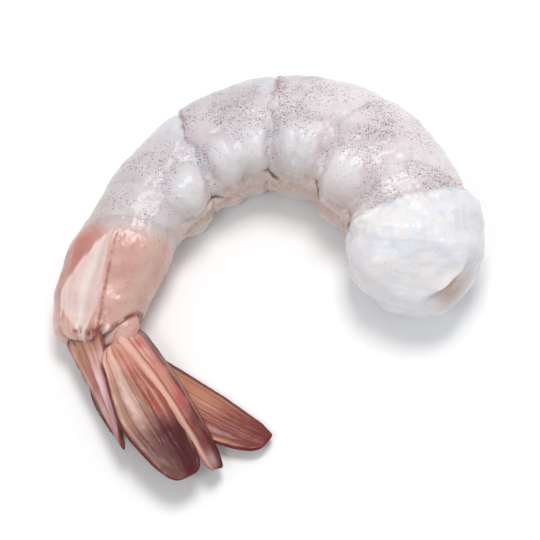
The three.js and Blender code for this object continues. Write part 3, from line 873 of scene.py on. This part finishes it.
def fan_finish(name, seed, colours, stain_from, root_to, left_rim, lines, blushes_and_highlights):
    """Shell that darkens along a blade, with a colour each side of the rib, dark and pale lines and
    patches; on some blades these are painted highlights and shade.
    """
    root, left, right, tip, rim, pale, stain = colours
    material, paint = new_finish(name)
    where = paint.add("ShaderNodeTexCoord", None, None, out="Object")
    along, across, edge = painted(paint, "along"), painted(paint, "across"), painted(paint, "edge")
    fan = paint.xyz(along * 1.6, across * 2.6, seed)
    streaks = paint.noise(fan, 2.2, 3)
    cloud = paint.noise(where, 300, 3)
    sway = (streaks - 0.5) * 0.16
    colour = paint.mix(paint.smooth(across + sway, -0.12, 0.12), srgb(*left), srgb(*right))
    colour = paint.mix(paint.smooth(along + sway, root_to, root_to * 0.4), colour, srgb(*root))
    colour = paint.mix(paint.smooth(along + sway * 2, 0.48, 0.74) * 0.9, colour, srgb(*tip))
    colour = paint.mix(paint.smooth(streaks, 0.54, 0.68) * 0.4, colour, srgb(*pale))
    stained = paint.smooth(along + sway * 1.6, stain_from, stain_from + 0.22)
    stained = stained * paint.smooth(across + sway * 2, -0.6, 0.2, 0.25, 1)
    colour = paint.mix(stained * 0.94, colour, srgb(*stain))
    for place, width, strength, until in lines:
        line = paint.bump(across - place + sway * 0.2, width) * paint.smooth(along, until, until - 0.2)
        colour = paint.mix(line * abs(strength), colour, srgb(*(rim if strength > 0 else pale)))
    for place, side, half_length, half_width, patch_colour in blushes_and_highlights:
        off = ((along - place) / half_length) ** 2 + ((across - side + sway) / half_width) ** 2
        colour = paint.mix((-off).exp() * 0.8, colour, srgb(*patch_colour))
    inside_rim = paint.bump(edge - 0.8, 0.22) * paint.smooth(along, 0.15, 0.4)
    colour = paint.mix(inside_rim * paint.smooth(along, 0.9, 0.7) * 0.35, colour, srgb(*pale))
    rim_strength = paint.smooth(across, -0.4, 0.2, left_rim, 0.95) * paint.smooth(along, 0.02, 0.12)
    colour = paint.mix(paint.smooth(edge, 0.5, 0.22) * rim_strength, colour, srgb(*rim))
    colour = paint.mix(paint.smooth(cloud, 0.5, 0.75) * (1 - stained) * 0.25, colour, srgb(*pale))
    bumps = paint.noise(fan, 7, 3) * 0.4 + paint.noise(where, 1500, 3) * 0.3
    normal = paint.tilted(0.22, 0.0004, bumps)
    paint.surface({
        "Base Color": colour,
        "Roughness": paint.smooth(cloud, 0.3, 0.7, 0.34, 0.5),
        "Normal": normal,
        "IOR": 1.45,
        "Specular IOR Level": 0.25,
        "Subsurface Weight": 0.2,
        "Subsurface Radius": (1, 0.5, 0.4),
        "Subsurface Scale": 0.0008,
        "Coat Weight": 0.36 - stained * 0.26,
        "Coat Roughness": 0.2,
        "Coat IOR": 1.36,
    })
    return material


# Width, thickness, neck, widest, point, rib, skew, arch and hollow. Neck is the width at the root,
# as a share of the width, and widest is how far along the blade has swelled out from it.
TELSON_SHAPE = (6.4, 1.5, 1.1, 0.12, 0.8, 0.5, -0.2, 0, 0)
INNER_RIGHT_SHAPE = (9.2, 1.0, 0.6, 0.6, 0.27, 0.6, 0.1, 0, 0.18)
INNER_LEFT_SHAPE = (5.0, 1.0, 0.6, 0.6, 0.6, 0.6, 0.0, 0, 0.18)
OUTER_RIGHT_SHAPE = (4.5, 1.0, 1.45, 0.5, 0.15, 0.6, 0.2, 0.035, 0.18)
OUTER_LEFT_SHAPE = (8.0, 1.0, 1.15, 0.7, 0.3, 0.6, 0.5, 0, 0.18)
# Name, side, root, flex, rise and roll in degrees, length, shape.
BLADES = [
    ("telson", 1, (0.6, 3.7, 1.6), 36, -4, 42, 22.6, TELSON_SHAPE),
    ("inner_blade_right", 1, (-2.8, -3.6, 3.4), 45.5, -6, -10, 23.8, INNER_RIGHT_SHAPE),
    ("inner_blade_left", -1, (-3.1, -0.2, 3.6), 33, 0, 2, 14.6, INNER_LEFT_SHAPE),
    ("outer_blade_right", 1, (1.4, -4.7, 1.6), 47.5, -6.5, -40, 26.6, OUTER_RIGHT_SHAPE),
    ("outer_blade_left", -1, (-2.0, -8.4, 3.2), 72, 0, 10, 23.2, OUTER_LEFT_SHAPE),
]
# Root, left of the rib, right of it, tip, rim, pale and stain colours; where the stain starts, how
# far the root's colour reaches, how strong the left rim is; the lines along the blade: place across
# it, half width, strength, pale where that is below 0, and where the line stops; and the blushes
# and painted highlights: place along and across, half length, half width and colour.
BLADE_COLOURS = {
    "telson": (
        (
            # The telson's pale lilac right side is a painted highlight on its right facet.
            (182, 128, 106), (166, 104, 90), (230, 190, 192), (192, 146, 144),
            (116, 58, 54), (230, 196, 198), (128, 78, 72),
        ),
        0.8, 0.54, 0.9,
        [(-0.06, 0.06, 0.75, 1), (0.5, 0.05, 0.4, 1), (-0.5, 0.05, 0.4, 1)],
        [],
    ),
    "inner_blade_right": (
        (
            (206, 148, 128), (168, 122, 102), (158, 84, 66), (112, 68, 68),
            (98, 36, 36), (220, 188, 176), (78, 26, 30),
        ),
        0.47, 0.28, 0.95,
        [
            (-0.62, 0.035, 0.6, 1),
            (-0.38, 0.14, -0.7, 0.64),
            (-0.16, 0.035, 0.6, 1),
            (0.1, 0.03, 0.5, 1),
            (0.42, 0.05, -0.4, 0.7),
        ],
        [(0.14, 0.2, 0.08, 0.35, (184, 90, 78))],
    ),
    "inner_blade_left": (
        (
            (204, 156, 146), (166, 112, 100), (206, 170, 156), (140, 92, 90),
            (112, 54, 52), (214, 178, 172), (110, 66, 66),
        ),
        0.8, 0.34, 0.95,
        [(-0.12, 0.03, 0.5, 1), (0.12, 0.03, 0.5, 1)],
        [],
    ),
    "outer_blade_right": (
        (
            (214, 162, 146), (196, 132, 116), (180, 104, 92), (128, 62, 60),
            (88, 30, 28), (228, 182, 164), (100, 40, 42),
        ),
        0.6, 0.3, 0.1,
        [
            # The pale line at the left edge is a painted highlight where that edge catches the light; the
            # dark lines on the right are its dark rim and painted shade where the face turns away.
            (-0.8, 0.15, -0.85, 1.1),
            (-0.52, 0.05, 0.6, 1),
            (-0.05, 0.04, 0.3, 1),
            (0.42, 0.15, 0.9, 1.2),
            (0.75, 0.3, 0.95, 1.2),
        ],
        [
            (0.14, -0.2, 0.04, 0.3, (184, 82, 76)),
            (0.55, 0, 0.06, 0.45, (176, 66, 68)),
            # The dark patch is its dark red partly deepened by painted shade where the face turns away, and
            # the grey-lilac patch at the tip is a painted highlight.
            (0.72, 0.45, 0.14, 0.8, (96, 34, 38)),
            (0.94, -0.3, 0.05, 0.5, (176, 146, 148)),
        ],
    ),
    "outer_blade_left": (
        (
            (192, 148, 126), (156, 88, 70), (182, 124, 100), (126, 58, 52),
            (98, 34, 34), (196, 138, 112), (112, 48, 44),
        ),
        0.72, 0.34, 0.95,
        [(0.93, 0.12, 0.95, 1.2), (0.7, 0.03, 0.4, 1), (0.3, 0.025, 0.3, 1), (-0.86, 0.12, -0.5, 0.9)],
        [],
    ),
}
for number, (name, side, root, flex, rise, roll, length, shape) in enumerate(BLADES):
    lengthwise, to_belly, across, outward = blade_directions(flex, rise, roll, side)
    inputs = {
        "Root": at_tail(*root, side),
        "Lengthwise": lengthwise,
        "To belly": to_belly,
        "Across": across,
        "Outward": outward,
        "Seed": number * 7.3,
        "Rings": 200,
        "Around": 150,
        "Finish": fan_finish(name + " shell", number * 5.1, *BLADE_COLOURS[name]),
        **dict(zip(measures, (length, *shape))),
    }
    blade = grown(blade_shape, name + "_plate", inputs)
    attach(blade, "root")
    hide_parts(name)


# ---- The bases of the blades -----------------------------------------------------------------
# A short stout knuckle of shell on each side carries its pair of blades. A shallow cleft parts
# its rear end into two lobes, one over the root of each blade.
BASE_WIDE, BASE_THICK = 2.9, 1.3
# Name, side, start and end from the tail joint.
BASES = [
    ("fan_base_right", 1, (3.4, -4.6, 2.7), (-3.4, -2.9, 2.0)),
    ("fan_base_left", -1, (3.0, -4.6, 2.6), (-3.4, -4.8, 3.1)),
]
numbers = dict.fromkeys(("Start", "Line", "Across"), "Vector")
base_shape, size, mesh, run, turned = new_tree("fan base", numbers)
along = (1 - (run * math.pi).cos()) / 2
cosine, sine = (turned * math.tau).cos(), (turned * math.tau).sin()
close = (run * math.pi).sin().at_least(0) ** 0.6
cleft = base_shape.bump(cosine - 0.1, 0.3) * base_shape.smooth(along, 0.3, 0.9)
base_place = base_shape.xyz(along * 2, cosine, sine)
lumpy = 1 + base_shape.ripple(base_place, 3, 3, 0.2) - 0.08 * cleft
point = (
    size["Start"]
    + size["Line"] * (along * (1 - 0.1 * cleft))
    + size["Across"] * (BASE_WIDE * close * cosine * lumpy)
    + base_shape.xyz(z=BASE_THICK * close * sine * lumpy)
)
close_up(base_shape, mesh, point, {"along": along, "across": cosine}, size["Finish"])

base_finish, paint = new_finish("knuckle shell")
where = paint.add("ShaderNodeTexCoord", None, None, out="Object")
cloud = paint.smooth(paint.noise(where, 420, 3), 0.35, 0.65)
along, across = painted(paint, "along"), painted(paint, "across")
colour = paint.mix(cloud, srgb(198, 144, 132), srgb(206, 164, 152))
inner_lobe = paint.smooth(across, 0.2, -0.3) * paint.smooth(along, 0.45, 0.75)
colour = paint.mix(inner_lobe * 0.5, colour, srgb(196, 178, 170))
lines = paint.bump(across - 0.1 + (cloud - 0.5) * 0.1, 0.06) * paint.smooth(along, 0.4, 0.7)
colour = paint.mix(lines.at_most(1) * 0.6, colour, srgb(150, 78, 66))
colour = paint.mix(paint.smooth(along + (cloud - 0.5) * 0.1, 0.9, 0.97) * 0.6, colour, srgb(158, 88, 76))
normal = paint.tilted(0.35, 0.0004, paint.noise(where, 600, 2))
paint.surface({
    "Base Color": colour,
    "Roughness": paint.smooth(cloud, 0, 1, 0.4, 0.52),
    "Normal": normal,
    "Subsurface Weight": 0.4,
    "Subsurface Radius": (1, 0.55, 0.45),
    "Subsurface Scale": 0.001,
    "Coat Weight": 0.3,
    "Coat Roughness": 0.25,
})
for name, side, start, end in BASES:
    start = Vector(at_tail(*start, side))
    line = Vector(at_tail(*end, side)) - start
    inputs = {
        "Start": start,
        "Line": line,
        "Across": Vector((0, 0, 1)).cross(line).normalized(),
        "Rings": 60,
        "Around": 80,
        "Finish": base_finish,
    }
    base = grown(base_shape, name + "_knuckle", inputs)
    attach(base, "root")
    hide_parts(name)


# ---- Closing ---------------------------------------------------------------------------------
bpy.data.objects.remove(body_line)
